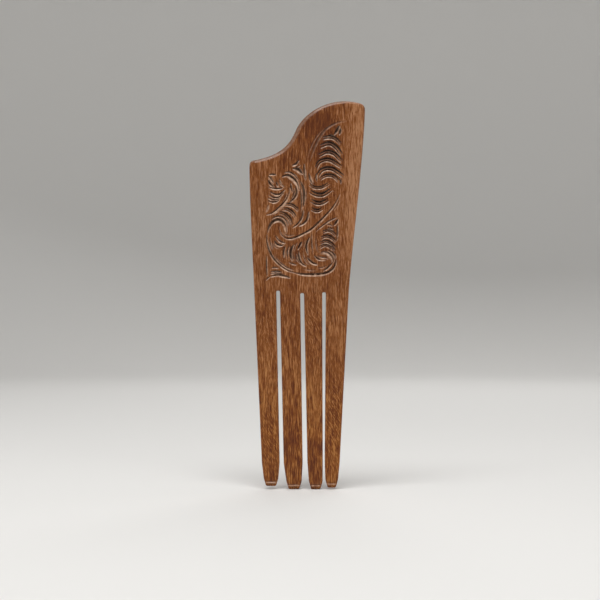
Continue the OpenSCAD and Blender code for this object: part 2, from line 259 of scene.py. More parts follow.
    def foot(self, tooth: int) -> list[Station]:
        """Draws the outline of one tooth.

        Args:
            tooth: The tooth, counted from the left.

        Returns:
            The stations from the bend in its left edge round its tip to the bend in its right edge.
        """
        bend, tip, edge = -self.narrow_h, self.tip_z[tooth], self.side_edge
        left, right = self.left_edge(tooth, bend), self.right_edge(tooth, bend)
        cut_left, cut_right = left + self.lean_left[tooth], right - self.lean_right[tooth]
        cut_z = tip + self.tip_cut_h
        places = [(left, bend), (cut_left, cut_z), (cut_left + self.tip_cut_w, tip),
                  (cut_right - self.tip_cut_w, tip), (cut_right, cut_z), (right, bend)]
        marks = [Station(x, z, edge) for x, z in places]
        made = marks[:1]
        for i, radius in ((1, self.tip_bow_r), (2, self.tip_r), (3, self.tip_r), (4, self.tip_bow_r)):
            made += rounded(*marks[i - 1:i + 2], radius, self.corner_steps)
        return made + marks[5:]

    def mouth(self, slot: int) -> list[Station]:
        """Draws the rounded closed end of one slot.

        Args:
            slot: The slot, counted from the left.

        Returns:
            The stations from left to right.
        """
        top, low, edge = self.slot_rise[slot], self.foot_z, self.side_edge
        marks = [Station(self.wall(slot, -1, low), low, edge), Station(self.wall(slot, -1, top), top, edge),
                 Station(self.wall(slot, 1, top), top, edge), Station(self.wall(slot, 1, low), low, edge)]
        return (rounded(marks[0], marks[1], marks[2], self.slot_r, self.corner_steps)
                + rounded(marks[1], marks[2], marks[3], self.slot_r, self.corner_steps))

    def outline(self) -> list[Station]:
        """Returns the whole outline, anticlockwise as seen from the carved face."""
        stations = self.rim()
        for tooth in range(self.teeth):
            stations += self.foot(tooth)
            if tooth < self.teeth - 1:
                stations += self.mouth(tooth)
        return [station._replace(z=min(station.z, self.crest_h)) for station in stations]


# ---------------------------------------------------------------------------- carving


class Cut(NamedTuple):
    """One pull of the gouge: its width, the points that it passes through, as (x, z), and its depth.

    A cut with a lip leaves an edge below it, which gets a painted highlight.
    """

    width: float
    points: list[tuple[float, float]]
    depth: float = 1.0
    lip: bool = True


def beside(points: list[tuple[float, float]], away: float) -> list[tuple[float, float]]:
    """Moves a line sideways.

    Args:
        points: The points of the line, from left to right.
        away: How far it moves, upwards when positive.

    Returns:
        The points of the moved line.
    """
    last = len(points) - 1
    made = []
    for i, here in enumerate(points):
        way = (Vector(points[min(i + 1, last)]) - Vector(points[max(i - 1, 0)])).normalized()
        made.append((here[0] - way.y * away, here[1] + way.x * away))
    return made


# The two cuts of a fan's notch: width and offset as shares of the notch's width, and depth
SHADE_CUT = (0.60, 0.52, 1.4)
LIP_CUT = (0.42, -0.20, 1.5)


def scallop(width: float, points: list[tuple[float, float]]) -> list[Cut]:
    """Cuts one notch of a fan: a deep cut with painted shade, and a finer one below it whose lip gets a
    painted highlight.

    Args:
        width: Width of the whole notch.
        points: The points along its middle.

    Returns:
        The two cuts.
    """
    return [Cut(width * share, beside(points, width * away), depth, lip)
            for (share, away, depth), lip in ((SHADE_CUT, False), (LIP_CUT, True))]


def smooth_line(points: list[tuple[float, float]], steps: int) -> list[np.ndarray]:
    """Draws a smooth line through points.

    Args:
        points: The points, as (x, z).
        steps: Number of steps from one point to the next.

    Returns:
        The points along the line.
    """
    p = [np.array(q, float) for q in points]
    last = len(p) - 1
    made = []
    for i in range(last):
        a, b, c, d = p[max(i - 1, 0)], p[i], p[i + 1], p[min(i + 2, last)]
        for j in range(steps + (i == last - 1)):
            t = j / steps
            made.append((2 * b + (c - a) * t + (2 * a - 5 * b + 4 * c - d) * t**2
                         + (3 * b - a - 3 * c + d) * t**3) / 2)
    return made


LEAF = [
    Cut(1.1, [(3.8, 64.8), (5.6, 70.4), (8.0, 75.4), (11.4, 80.2), (16.5, 83.2), (21.6, 84.4)], 0.36),
    Cut(0.6, [(2.4, 65.4), (3.4, 69.4), (5.6, 74.4), (8.4, 78.4), (11.4, 81.4)], 0.4),
    Cut(0.9, [(1.7, 55.2), (1.0, 58.6), (0.9, 63.4)]),
    Cut(0.9, [(5.2, 53.4), (3.9, 55.6), (3.2, 58.8)]),
    Cut(0.8, [(7.2, 54.8), (6.8, 56.6), (6.9, 58.8)]),
    Cut(1.5, [(15.7, 77.6), (16.8, 79.4), (18.2, 82.0)], 1.2),
    Cut(1.2, [(18.1, 77.5), (18.5, 78.9), (18.8, 80.6)]),
    Cut(1.0, [(12.2, 76.8), (14.2, 77.3), (15.7, 76.9)]),
    Cut(0.8, [(18.0, 56.2), (18.8, 55.0), (19.0, 53.4)]),
]
LEAF_FAN = [
    (1.5, [(10.0, 75.4), (13.4, 76.2), (16.4, 75.2), (18.7, 72.9)]),
    (1.9, [(8.9, 71.4), (13.0, 73.0), (16.4, 71.2), (19.1, 67.4)]),
    (1.8, [(8.3, 67.0), (12.2, 68.9), (15.9, 67.8), (19.1, 64.2)]),
    (1.7, [(7.0, 60.6), (8.8, 64.1), (13.4, 65.0), (19.2, 61.4)]),
    (1.8, [(7.8, 57.0), (10.0, 60.1), (14.6, 60.6), (20.0, 56.8)]),
    (1.5, [(8.8, 55.6), (12.0, 57.4), (15.4, 57.0), (17.7, 54.5)]),
]
BOWL_FAN = [
    (1.3, [(3.2, 53.4), (5.9, 51.6), (9.6, 51.6), (13.3, 53.6)]),
    (1.9, [(3.6, 49.6), (7.0, 48.0), (10.6, 48.1), (14.5, 50.6)]),
    (1.8, [(4.1, 45.2), (7.0, 43.9), (9.8, 44.0), (12.8, 45.5)]),
    (1.5, [(4.3, 41.2), (6.2, 40.3), (8.0, 40.2), (10.0, 41.2)]),
]
STEM = [
    Cut(1.0, [(-11.4, 32.6), (-10.6, 29.6), (-8.8, 27.5), (-6.2, 26.7), (-3.0, 27.5), (0.6, 29.2),
              (4.3, 31.3), (8.0, 34.6), (11.5, 38.2), (14.6, 41.6), (16.9, 45.2), (18.4, 48.6)]),
    Cut(0.7, [(6.6, 30.2), (8.4, 31.8), (11.2, 34.0), (14.4, 36.0), (17.6, 37.2)]),
    Cut(0.5, [(15.4, 40.6), (17.0, 42.8), (18.4, 45.6)], 0.7),
    Cut(0.5, [(-9.6, 30.2), (-8.2, 28.8), (-6.2, 28.2), (-3.6, 28.8)], 0.7),
]
HOOK = [
    Cut(1.6, [(-17.0, 29.6), (-16.3, 32.2), (-14.6, 34.8), (-11.8, 36.0), (-9.2, 34.7), (-7.9, 31.8),
              (-7.7, 29.4)], 1.1),
    Cut(0.8, [(-15.0, 36.2), (-12.2, 37.6), (-9.4, 37.0), (-7.6, 35.2), (-6.8, 32.6)]),
    Cut(0.6, [(-13.0, 28.4), (-12.2, 26.8), (-11.0, 25.8)]),
]
BORDER = [
    Cut(1.0, [(-17.4, 29.2), (-17.2, 25.4), (-16.3, 21.8), (-14.8, 18.4), (-12.4, 15.2), (-9.4, 12.6),
              (-6.4, 10.9), (-2.7, 9.9)], 0.9),
    Cut(1.3, [(-4.4, 10.3), (-1.4, 9.6), (1.6, 9.3), (6.4, 9.3), (10.2, 9.6), (12.9, 10.5), (15.0, 12.0),
              (16.3, 14.4), (16.6, 16.6)], 1.3),
    Cut(0.6, [(-13.4, 18.2), (-10.8, 15.1), (-7.2, 12.5), (-3.6, 11.2)]),
    Cut(0.6, [(-16.0, 27.6), (-15.4, 24.2), (-14.2, 21.2)], 0.8),
    Cut(0.8, [(16.9, 25.6), (17.2, 30.0), (17.3, 33.6)]),
]
CURL = [
    Cut(1.2, [(9.0, 20.0), (11.4, 20.2), (13.8, 18.9), (15.4, 16.5), (15.1, 14.8)], 0.6),
    Cut(0.9, [(10.4, 10.9), (12.8, 12.7), (14.8, 14.9)], 1.1),
    Cut(0.8, [(7.2, 18.6), (9.4, 17.6), (11.6, 17.4), (13.2, 16.6)], 0.6),
    Cut(0.6, [(7.4, 12.6), (10.0, 12.6), (12.2, 13.6)], 0.6),
    Cut(0.6, [(0.4, 12.0), (3.8, 11.4), (7.2, 11.3)], 0.5),
    Cut(0.9, [(12.4, 21.2), (14.4, 20.1), (15.9, 18.6), (16.4, 16.9)], 0.9),
]
LOWER_LINES = [
    Cut(0.8, [(12.4, 31.9), (13.8, 31.8), (15.2, 31.2)]),
    Cut(1.2, [(15.7, 33.2), (16.6, 34.7), (17.6, 36.2)], 1.1),
    Cut(0.6, [(12.0, 33.8), (13.6, 33.5), (15.0, 32.8)], 0.8),
]
LOWER_FAN = [
    (1.2, [(10.2, 29.7), (12.6, 30.4), (14.6, 29.8), (16.4, 28.0)]),
    (1.4, [(9.4, 26.7), (11.8, 27.7), (14.0, 27.1), (16.5, 25.0)]),
    (1.3, [(8.8, 24.2), (11.4, 25.2), (13.8, 24.4), (16.3, 22.0)]),
    (1.2, [(8.4, 21.9), (10.9, 23.3), (13.4, 22.6), (16.2, 20.6)]),
]
SWEEPS = [
    Cut(0.9, [(-8.8, 17.6), (-9.1, 20.2), (-8.3, 23.2)], 1.2),
    Cut(0.5, [(-7.9, 16.4), (-8.3, 18.6), (-8.0, 21.2)], 0.6),
    Cut(0.8, [(-7.0, 17.0), (-7.3, 20.2), (-6.4, 22.9)], 0.9),
    Cut(1.4, [(-4.8, 15.9), (-5.6, 18.2), (-5.5, 21.0), (-4.2, 23.8)], 1.3),
    Cut(0.5, [(-3.4, 15.6), (-4.3, 17.6), (-4.4, 20.2)], 0.7),
    Cut(0.5, [(-4.0, 20.4), (-3.6, 22.6), (-2.5, 24.8)], 0.7),
    Cut(0.6, [(-0.4, 14.2), (-2.4, 16.4), (-3.0, 19.4)], 0.8),
    Cut(1.0, [(-2.1, 21.4), (-1.4, 23.1), (-0.3, 25.2)], 1.3),
    Cut(1.0, [(2.1, 13.2), (0.0, 14.3), (-1.2, 16.2), (-1.8, 18.8), (-1.7, 20.6)], 1.1),
    Cut(0.5, [(4.0, 13.8), (1.7, 15.6), (0.6, 18.6), (0.4, 22.0)], 0.7),
    Cut(0.5, [(0.8, 22.6), (1.1, 24.4), (1.9, 26.2)], 0.7),
    Cut(1.1, [(2.9, 18.8), (2.1, 21.4), (2.1, 24.0), (3.6, 27.4)], 1.3),
    Cut(1.1, [(7.6, 14.0), (5.2, 14.7), (3.4, 16.2), (2.3, 17.6)], 1.1),
    Cut(0.7, [(5.4, 19.8), (4.6, 23.2), (4.5, 29.8)], 0.7),
    Cut(0.9, [(9.2, 16.2), (7.6, 16.8), (5.9, 18.4)], 1.1),
    Cut(0.5, [(8.4, 19.6), (7.2, 21.6), (6.5, 24.2), (6.6, 27.8)], 0.7),
    Cut(0.7, [(-6.6, 15.4), (-4.6, 14.4), (-2.6, 13.9)], 0.8),
    Cut(1.1, [(-13.6, 25.8), (-12.4, 24.2), (-10.8, 23.4), (-9.0, 23.6)], 1.1),
    Cut(0.9, [(-12.2, 26.6), (-10.4, 25.2), (-8.2, 24.4)]),
    Cut(0.5, [(-14.6, 25.0), (-13.2, 22.8), (-10.8, 21.8)], 0.7),
]
SLANTED_FAN = [
    (1.3, [(-8.6, 43.2), (-6.2, 43.2), (-4.0, 42.3), (-1.8, 40.2)]),
    (1.4, [(-9.8, 41.0), (-7.0, 40.7), (-4.8, 39.2), (-3.4, 37.0)]),
    (1.4, [(-11.6, 39.4), (-8.4, 38.4), (-6.2, 36.2), (-5.2, 33.2)]),
]
SCROLL = [
    Cut(1.5, [(-10.0, 56.9), (-7.4, 57.8), (-4.6, 56.4), (-2.5, 53.9), (-1.4, 50.4)], 1.1),
    Cut(0.8, [(-8.8, 59.0), (-6.2, 59.2), (-3.6, 57.7), (-1.8, 55.2)]),
    Cut(1.3, [(0.4, 42.0), (1.0, 47.0), (0.5, 51.4), (-1.0, 54.8)]),
    Cut(0.8, [(-0.6, 40.0), (-0.4, 44.6), (-0.6, 49.0), (-1.2, 52.4)], 0.8),
    Cut(0.9, [(-4.9, 31.9), (-2.0, 34.2), (-0.2, 37.0), (0.5, 41.2)]),
    Cut(1.1, [(-1.7, 32.9), (0.7, 34.2), (2.4, 36.4), (3.2, 40.0)]),
    Cut(0.9, [(-4.6, 49.2), (-5.4, 51.4), (-5.7, 54.0)]),
    Cut(1.2, [(-6.6, 43.9), (-3.9, 46.6), (-2.8, 49.2), (-3.1, 52.6)]),
    Cut(0.8, [(-5.4, 45.9), (-4.0, 48.6), (-4.1, 51.6)], 0.8),
    Cut(0.9, [(-17.7, 38.4), (-15.4, 38.9), (-12.9, 40.6), (-10.0, 43.3), (-7.7, 46.0), (-6.4, 49.2),
              (-6.4, 52.0)]),
    Cut(0.6, [(-9.4, 44.8), (-8.4, 46.6), (-7.6, 49.0)], 0.8),
]
SIDE_LINES = [
    Cut(0.9, [(-16.4, 51.9), (-13.0, 51.2), (-9.4, 51.4)], 1.1),
    Cut(1.0, [(-15.8, 49.7), (-13.1, 48.4), (-10.6, 48.7), (-8.5, 50.6)]),
    Cut(0.9, [(-16.4, 48.2), (-14.2, 47.0), (-11.6, 46.9), (-9.0, 49.2)]),
    Cut(0.8, [(-16.8, 46.7), (-14.4, 45.8), (-12.2, 45.9), (-10.4, 46.9)]),
    Cut(0.9, [(-16.8, 45.3), (-14.6, 44.6), (-12.4, 44.9), (-11.0, 46.0)]),
    Cut(1.2, [(-16.7, 55.4), (-15.3, 53.3), (-13.8, 51.9)], 1.1),
    Cut(0.9, [(-16.6, 57.4), (-15.2, 56.0), (-13.8, 53.8)]),
    Cut(0.9, [(-16.2, 58.0), (-14.5, 58.2), (-12.8, 58.0)]),
    Cut(0.8, [(-12.8, 54.6), (-12.2, 53.2), (-11.6, 51.9)]),
    Cut(0.9, [(-11.2, 55.6), (-10.3, 53.4), (-8.9, 52.0)]),
    Cut(0.7, [(-17.6, 39.8), (-16.8, 41.6), (-16.6, 43.6)]),
]
GAP_LINES = [
    Cut(1.1, [(-4.9, 62.5), (-3.2, 63.2), (-1.7, 65.0)]),
    Cut(1.7, [(-4.6, 61.0), (-1.9, 60.6), (0.4, 58.2)], 1.1),
    Cut(0.5, [(-3.4, 61.8), (-1.9, 62.0), (-0.9, 62.8)], 0.8),
]
FOOT_LINES = [
    Cut(0.8, [(-17.2, 8.4), (-17.4, 13.0), (-17.5, 18.4)]),
    Cut(0.7, [(-15.0, 12.3), (-13.2, 12.7), (-11.6, 12.2)]),
    Cut(0.9, [(-15.4, 10.6), (-12.4, 10.8), (-9.8, 10.2)]),
    Cut(0.7, [(-15.6, 9.5), (-12.4, 9.9), (-9.0, 9.3)]),
    Cut(1.3, [(-15.4, 8.2), (-12.2, 9.0), (-9.2, 8.6), (-5.8, 7.5)]),
    Cut(0.7, [(-17.6, 6.4), (-16.8, 7.4), (-15.8, 8.0)]),
]

# Ridges left standing between cuts, which get a painted highlight. The last three are painted glints along
# the bottom of the border cut
RIDGE_HIGHLIGHTS = [
    Cut(1.4, [(-8.6, 57.0), (-7.2, 57.0), (-5.0, 55.6), (-3.2, 53.8), (-2.2, 52.0), (-1.9, 50.6)], 1.2),
    Cut(1.2, [(-16.6, 38.1), (-13.4, 39.0), (-10.4, 41.6), (-8.0, 44.4), (-6.8, 47.4), (-6.5, 49.6)]),
    Cut(1.2, [(-16.6, 56.6), (-15.4, 55.2), (-14.4, 54.0)]),
    Cut(1.0, [(-11.0, 55.6), (-10.2, 53.4), (-8.9, 51.7)]),
    Cut(1.1, [(-4.6, 60.5), (-3.0, 60.0), (-1.6, 59.0), (-0.3, 57.5)]),
    Cut(1.0, [(1.3, 62.6), (1.6, 60.0), (1.8, 57.6), (2.3, 55.4)], 0.8),
    Cut(1.1, [(3.7, 58.2), (4.6, 55.8), (5.8, 53.9)], 0.7),
    Cut(1.4, [(8.6, 19.0), (11.4, 19.3), (13.6, 17.9), (14.7, 16.1), (14.3, 14.6)], 1.1),
    Cut(0.8, [(8.6, 15.9), (10.4, 16.0), (12.2, 16.3)]),
    Cut(1.3, [(-9.6, 34.2), (-8.5, 32.2), (-8.1, 29.8)], 1.1),
    Cut(0.9, [(-10.6, 28.8), (-8.8, 27.0), (-6.8, 26.2), (-4.6, 26.1), (-1.5, 27.3), (1.5, 28.9), (4.6, 30.7),
              (8.4, 34.1), (12.0, 37.9), (15.2, 41.5), (17.7, 45.8)], 0.8),
    Cut(1.0, [(-17.7, 39.8), (-17.0, 41.4), (-16.6, 43.2)]),
    Cut(1.1, [(5.8, 9.0), (6.5, 9.1), (7.2, 9.1)], 2.0),
    Cut(1.0, [(8.5, 9.0), (9.3, 9.1), (10.1, 9.3)], 1.6),
    Cut(0.8, [(1.2, 8.9), (3.0, 8.8), (5.0, 8.9)]),
]


@dataclass
class TipMarks:
    """The line scored across each tip above its bevel, and the painted highlight on the ridge between the
    two.
    """

    plan: BoardPlan
    score_up: float = 0.9
    score_w: float = 0.8
    score_sag: float = 0.2
    score_depth: float = 0.3
    ridge_up: float = 0.2
    ridge_w: float = 0.32
    ridge_gain: float = 1.9
    ridge_loss: float = 0.7
    shine: float = 0.85

    def scores(self) -> list[Cut]:
        """Returns one shallow cut for each tooth."""
        made = []
        for tooth in range(self.plan.teeth):
            up = self.plan.tip_z[tooth] + self.plan.tip_bevel_h + self.score_up
            left = self.plan.left_edge(tooth, -self.plan.narrow_h) + self.plan.lean_left[tooth]
            right = self.plan.right_edge(tooth, -self.plan.narrow_h) - self.plan.lean_right[tooth]
            line = [(left, up), ((left + right) / 2, up - self.score_sag), (right, up)]
            made.append(Cut(self.score_w, line, self.score_depth))
        return made

    def ridge_highlight_at(self, x: np.ndarray, z: np.ndarray) -> np.ndarray:
        """Works out the painted highlight on the ridges, which fades towards both sides of a tooth.

        Args:
            x: Places across the comb.
            z: Heights on the comb.

        Returns:
            The painted highlight at each place, 0 away from the ridges.
        """
        ridge_highlight = np.zeros(len(x))
        for tooth in range(self.plan.teeth):
            left = self.plan.left_edge(tooth, z)
            across = np.clip((x - left) / (self.plan.right_edge(tooth, z) - left), 0, 1)
            reach = np.clip(self.ridge_gain * np.sin(np.pi * across) - self.ridge_loss, 0, self.shine)
            up = z - self.plan.tip_z[tooth] - self.plan.tip_bevel_h - self.ridge_up
            ridge_highlight += reach * np.exp(-(up / self.ridge_w) ** 2)
        return ridge_highlight


@dataclass
class Carving:
    """The carved pattern of the head, as a depth below the flat face."""

    depth: float = 0.95
    upper_share: float = 0.42
    spread: float = 1.2
    end_share: float = 0.15
    swell_power: float = 0.6
    ridge_highlight_gain: float = 1.3
    steps: int = 6
    cuts: list[Cut] = field(default_factory=list)

    def __post_init__(self) -> None:
        """Gathers every cut of the pattern."""
        lines = (LEAF, STEM, HOOK, BORDER, CURL, LOWER_LINES, SWEEPS, SCROLL, SIDE_LINES, GAP_LINES,
                 FOOT_LINES)
        self.cuts += [cut for group in lines for cut in group]
        for fan in (LEAF_FAN, BOWL_FAN, LOWER_FAN, SLANTED_FAN):
            for width, points in fan:
                self.cuts += scallop(width, points)

    def depth_at(self, x: np.ndarray, z: np.ndarray, lips_only: bool = False) -> np.ndarray:
        """Works out how deep the carving is.

        Args:
            x: Places across the head.
            z: Heights on the head.
            lips_only: Whether to leave out the cuts that have no lip.

        Returns:
            The depth at each place, 0 where the face is left flat.
        """
        return self._strongest([cut for cut in self.cuts if cut.lip or not lips_only], x, z)

    def ridge_highlight_at(self, x: np.ndarray, z: np.ndarray) -> np.ndarray:
        """Returns the painted highlight on the ridges between the cuts, from 0 to 1."""
        return np.clip(self._strongest(RIDGE_HIGHLIGHTS, x, z) / self.depth * self.ridge_highlight_gain, 0, 1)

    def _strongest(self, cuts: list[Cut], x: np.ndarray, z: np.ndarray) -> np.ndarray:
        """Finds the deepest of some cuts.

        Args:
            cuts: The cuts.
            x: Places across the head.
            z: Heights on the head.

        Returns:
            Its depth at each place.
        """
        deep = np.zeros(len(x))
        for cut in cuts:
            line = np.array(smooth_line(cut.points, self.steps))
            reach = cut.width * self.spread
            low, high = line.min(axis=0) - reach, line.max(axis=0) + reach
            near = np.flatnonzero((x > low[0]) & (x < high[0]) & (z > low[1]) & (z < high[1]))
            if len(near):
                deep[near] = np.maximum(deep[near], self._one_cut(cut, line, x[near], z[near]))
        return deep

    def _one_cut(self, cut: Cut, line: np.ndarray, x: np.ndarray, z: np.ndarray) -> np.ndarray:
        """Works out the depth of one cut, which has a steep upper wall and a sloping lower wall.

        Args:
            cut: The cut.
            line: The points along its deepest line.
            x: Places across the head.
            z: Heights on the head.

        Returns:
            The depth of the cut at each place.
        """
        start, run = line[:-1], np.diff(line, axis=0)
        length = np.hypot(run[:, 0], run[:, 1])
        along = run / length[:, None]
        travelled = np.concatenate([[0], np.cumsum(length)])
        dx, dz = x[:, None] - start[:, 0], z[:, None] - start[:, 1]
        t = np.clip(dx * along[:, 0] + dz * along[:, 1], 0, length)
        ox, oz = dx - t * along[:, 0], dz - t * along[:, 1]
        away = np.hypot(ox, oz)
        best = away.argmin(axis=1)
        row = np.arange(len(x))
        side = (along[best, 0] * oz[row, best] - along[best, 1] * ox[row, best]) >= 0
        share = (travelled[best] + t[row, best]) / travelled[-1]
        bow = np.sin(np.pi * np.clip(share, 0, 1)) ** self.swell_power
        swell = self.end_share + (1 - self.end_share) * bow
        width = cut.width * self.spread * swell
        half = np.where(side, width * self.upper_share, width * (1 - self.upper_share))
        wall = np.clip(1 - away[row, best] / half, 0, 1)
        return self.depth * cut.depth * min(1.0, cut.width) * swell * wall


# ---------------------------------------------------------------------------- the wooden blank


@dataclass
class Blank:
    """The sawn, rounded and carved board, before it is taken apart into its pieces."""

    plan: BoardPlan
    carving: Carving
    cell: float = 2.0
    cell_start: float = 0.37
    fine_cuts: int = 8
    probes: int = 7
    probe_reach: float = 1.1
    edge_steps: int = 6
    edge_slope: float = 0.72
    flatness: float = 0.8
    ripple: float = 0.07
    ripple_length: float = 13.0
    ridge_rows: tuple[float, ...] = (-0.3, 0.0, 0.2, 0.5, 0.8)

    def build(self) -> bmesh.types.BMesh:
        """Shapes the whole board.

        Returns:
            A closed mesh of the comb, in millimetres.
        """
        shape = bmesh.new()
        self._round_over(shape)
        self._slice(shape)
        everything = shape.verts[:] + shape.edges[:] + shape.faces[:]
        bmesh.ops.mirror(shape, geom=everything, axis="Y", merge_dist=SAME)
        self._refine(shape)
        self._sculpt(shape)
        bmesh.ops.recalc_face_normals(shape, faces=shape.faces[:])
        return shape

    def _round_over(self, shape: bmesh.types.BMesh) -> None:
        """Raises half of the board from its outline, with a rounded edge and a flat face.

        Args:
            shape: The mesh to fill.
        """
        stations = self.plan.outline()
        ring = shape.verts.layers.int.new("station")
        verts = [shape.verts.new((s.x, 0, s.z)) for s in stations]
        for i, vert in enumerate(verts):
            vert[ring] = i
        edges = [shape.edges.new((a, b)) for a, b in zip(verts, verts[1:] + verts[:1])]
        inward = self._inward(stations)
        half = self.plan.board_t / 2
        for step in range(self.edge_steps + 1):
            angle = math.pi / 2 * step / self.edge_steps
            grown = bmesh.ops.extrude_edge_only(shape, edges=edges)["geom"]
            edges = [g for g in grown if isinstance(g, bmesh.types.BMEdge)]
            for vert in (g for g in grown if isinstance(g, bmesh.types.BMVert)):
                i = vert[ring]
                edge = stations[i].edge
                flat = self.flatness * ease((edge - self.plan.side_edge) / self.plan.side_edge)
                inset = edge * mix(1 - math.cos(angle), step / self.edge_steps, flat)
                drop = edge * self.edge_slope * mix(1 - math.sin(angle), 1 - step / self.edge_steps, flat)
                x, z = Vector((stations[i].x, stations[i].z)) + inward[i] * inset
                vert.co = (x, drop - half, z)
        bmesh.ops.contextual_create(shape, geom=edges)

    @staticmethod
    def _inward(stations: list[Station]) -> list[Vector]:
        """Works out which way the wood lies.

        Args:
            stations: The outline.

        Returns:
            The direction into the wood at each station.
        """
        points = [Vector((s.x, s.z)) for s in stations]
        made = []
        for before, here, after in zip(points[-1:] + points[:-1], points, points[1:] + points[:1]):
            way = (here - before).normalized() + (after - here).normalized()
            made.append(Vector((-way.y, way.x)).normalized())
        return made

    def _slice(self, shape: bmesh.types.BMesh) -> None:
        """Cuts the board into small square cells, so that its faces can be sculpted.

        Args:
            shape: The board.
        """
        points = [vert.co for vert in shape.verts]
        for axis in (0, 2):
            low, high = min(p[axis] for p in points), max(p[axis] for p in points)
            normal = Vector((axis == 0, 0, axis == 2))
            rows = int((high - low) / self.cell) + 1
            places = [low + (self.cell_start + i) * self.cell for i in range(rows)]
            if axis == 2:
                tops = [tip + self.plan.tip_bevel_h for tip in self.plan.tip_z]
                places += [top + up for top in tops for up in self.ridge_rows]
            for place in places:
                bmesh.ops.bisect_plane(shape, geom=shape.verts[:] + shape.edges[:] + shape.faces[:],
                                       plane_co=normal * place, plane_no=normal)

    def _refine(self, shape: bmesh.types.BMesh) -> None:
        """Divides the cells of the carved face that a cut reaches.

        Args:
            shape: The sliced board.
        """
        face_y = -self.plan.board_t / 2
        cells = [f for f in shape.faces
                 if len(f.verts) == 4 and all(abs(v.co.y - face_y) < SAME for v in f.verts)]
        reach = np.linspace(-0.5, 0.5, self.probes) * self.cell * self.probe_reach
        centres = [f.calc_center_median() for f in cells]
        touched = np.zeros(len(cells), bool)
        x, z = (np.array([c[k] for c in centres]) for k in (0, 2))
        for dx in reach:
            for dz in reach:
                touched |= self.carving.depth_at(x + dx, z + dz) > 0
        edges = list(dict.fromkeys(e for f, hit in zip(cells, touched) if hit for e in f.edges))
        bmesh.ops.subdivide_edges(shape, edges=edges, cuts=self.fine_cuts, use_grid_fill=True)

    def _sculpt(self, shape: bmesh.types.BMesh) -> None:
        """Carves the front, planes the tips and gives both faces the faint ripple of handwork.

        Args:
            shape: The sliced board, with fine cells where it is carved.
        """
        half = self.plan.board_t / 2
        verts = shape.verts[:]
        x, y, z = (np.array([v.co[k] for v in verts]) for k in range(3))
        carved = self.carving.depth_at(x, z) * (y < SAME - half)
        for vert, deep in zip(verts, carved):
            side = math.copysign(1, vert.co.y)
            place = Vector((vert.co.x, side * self.ripple_length, vert.co.z)) / self.ripple_length
            deep += self.ripple * (0.5 + 0.5 * noise.noise(place))
            vert.co.y *= 1 - deep / half
            vert.co.y = side * min(abs(vert.co.y), self._tip_limit(vert.co.x, vert.co.z))

    def _tip_limit(self, x: float, z: float) -> float:
        """Works out how far the wood may stand from the middle of the board, which shrinks at the tips.

        Args:
            x: Place across the comb.
            z: Height on the comb.

        Returns:
            The limit on either side of the middle.
        """
        half = self.plan.board_t / 2
        if z > self.plan.foot_z:
            return half
        tooth = min(range(self.plan.teeth), key=lambda i: abs(
            x - (self.plan.left_edge(i, z) + self.plan.right_edge(i, z)) / 2))
        up = (z - self.plan.tip_z[tooth]) / self.plan.tip_bevel_h
        return half - self.plan.tip_bevel_d * max(0.0, 1 - up)


# ---------------------------------------------------------------------------- shaders


# A colour, or a value for each axis
Triple = tuple[float, float, float]


class Wire:
    """An output socket with arithmetic, so that shader maths reads as an expression."""

    def __init__(self, graph: "Graph", socket: bpy.types.NodeSocket) -> None:
        """Keeps the socket and the graph that it belongs to."""
        self.graph = graph
        self.socket = socket

    def _math(self, operation: str, *values: "Wire | float") -> "Wire":
        """Adds a Math node and returns its output."""
        return self.graph.add("ShaderNodeMath", {"operation": operation}, dict(enumerate(values)))

    def __add__(self, other: "Wire | float") -> "Wire":
        """Returns the sum."""
        return self._math("ADD", self, other)

    __radd__ = __add__

    def __rsub__(self, other: float) -> "Wire":
        """Returns the difference from a number."""
        return self._math("SUBTRACT", other, self)

    def __sub__(self, other: "Wire | float") -> "Wire":
        """Returns the difference."""
        return self._math("SUBTRACT", self, other)

    def __mul__(self, other: "Wire | float") -> "Wire":
        """Returns the product."""
        return self._math("MULTIPLY", self, other)

    __rmul__ = __mul__

    def step(self, low: float, high: float) -> "Wire":
        """Returns 0 below low, 1 above high and a soft climb between them."""
        return self.graph.add("ShaderNodeMapRange", {"interpolation_type": "SMOOTHSTEP"},
                              {"Value": self, "From Min": low, "From Max": high})


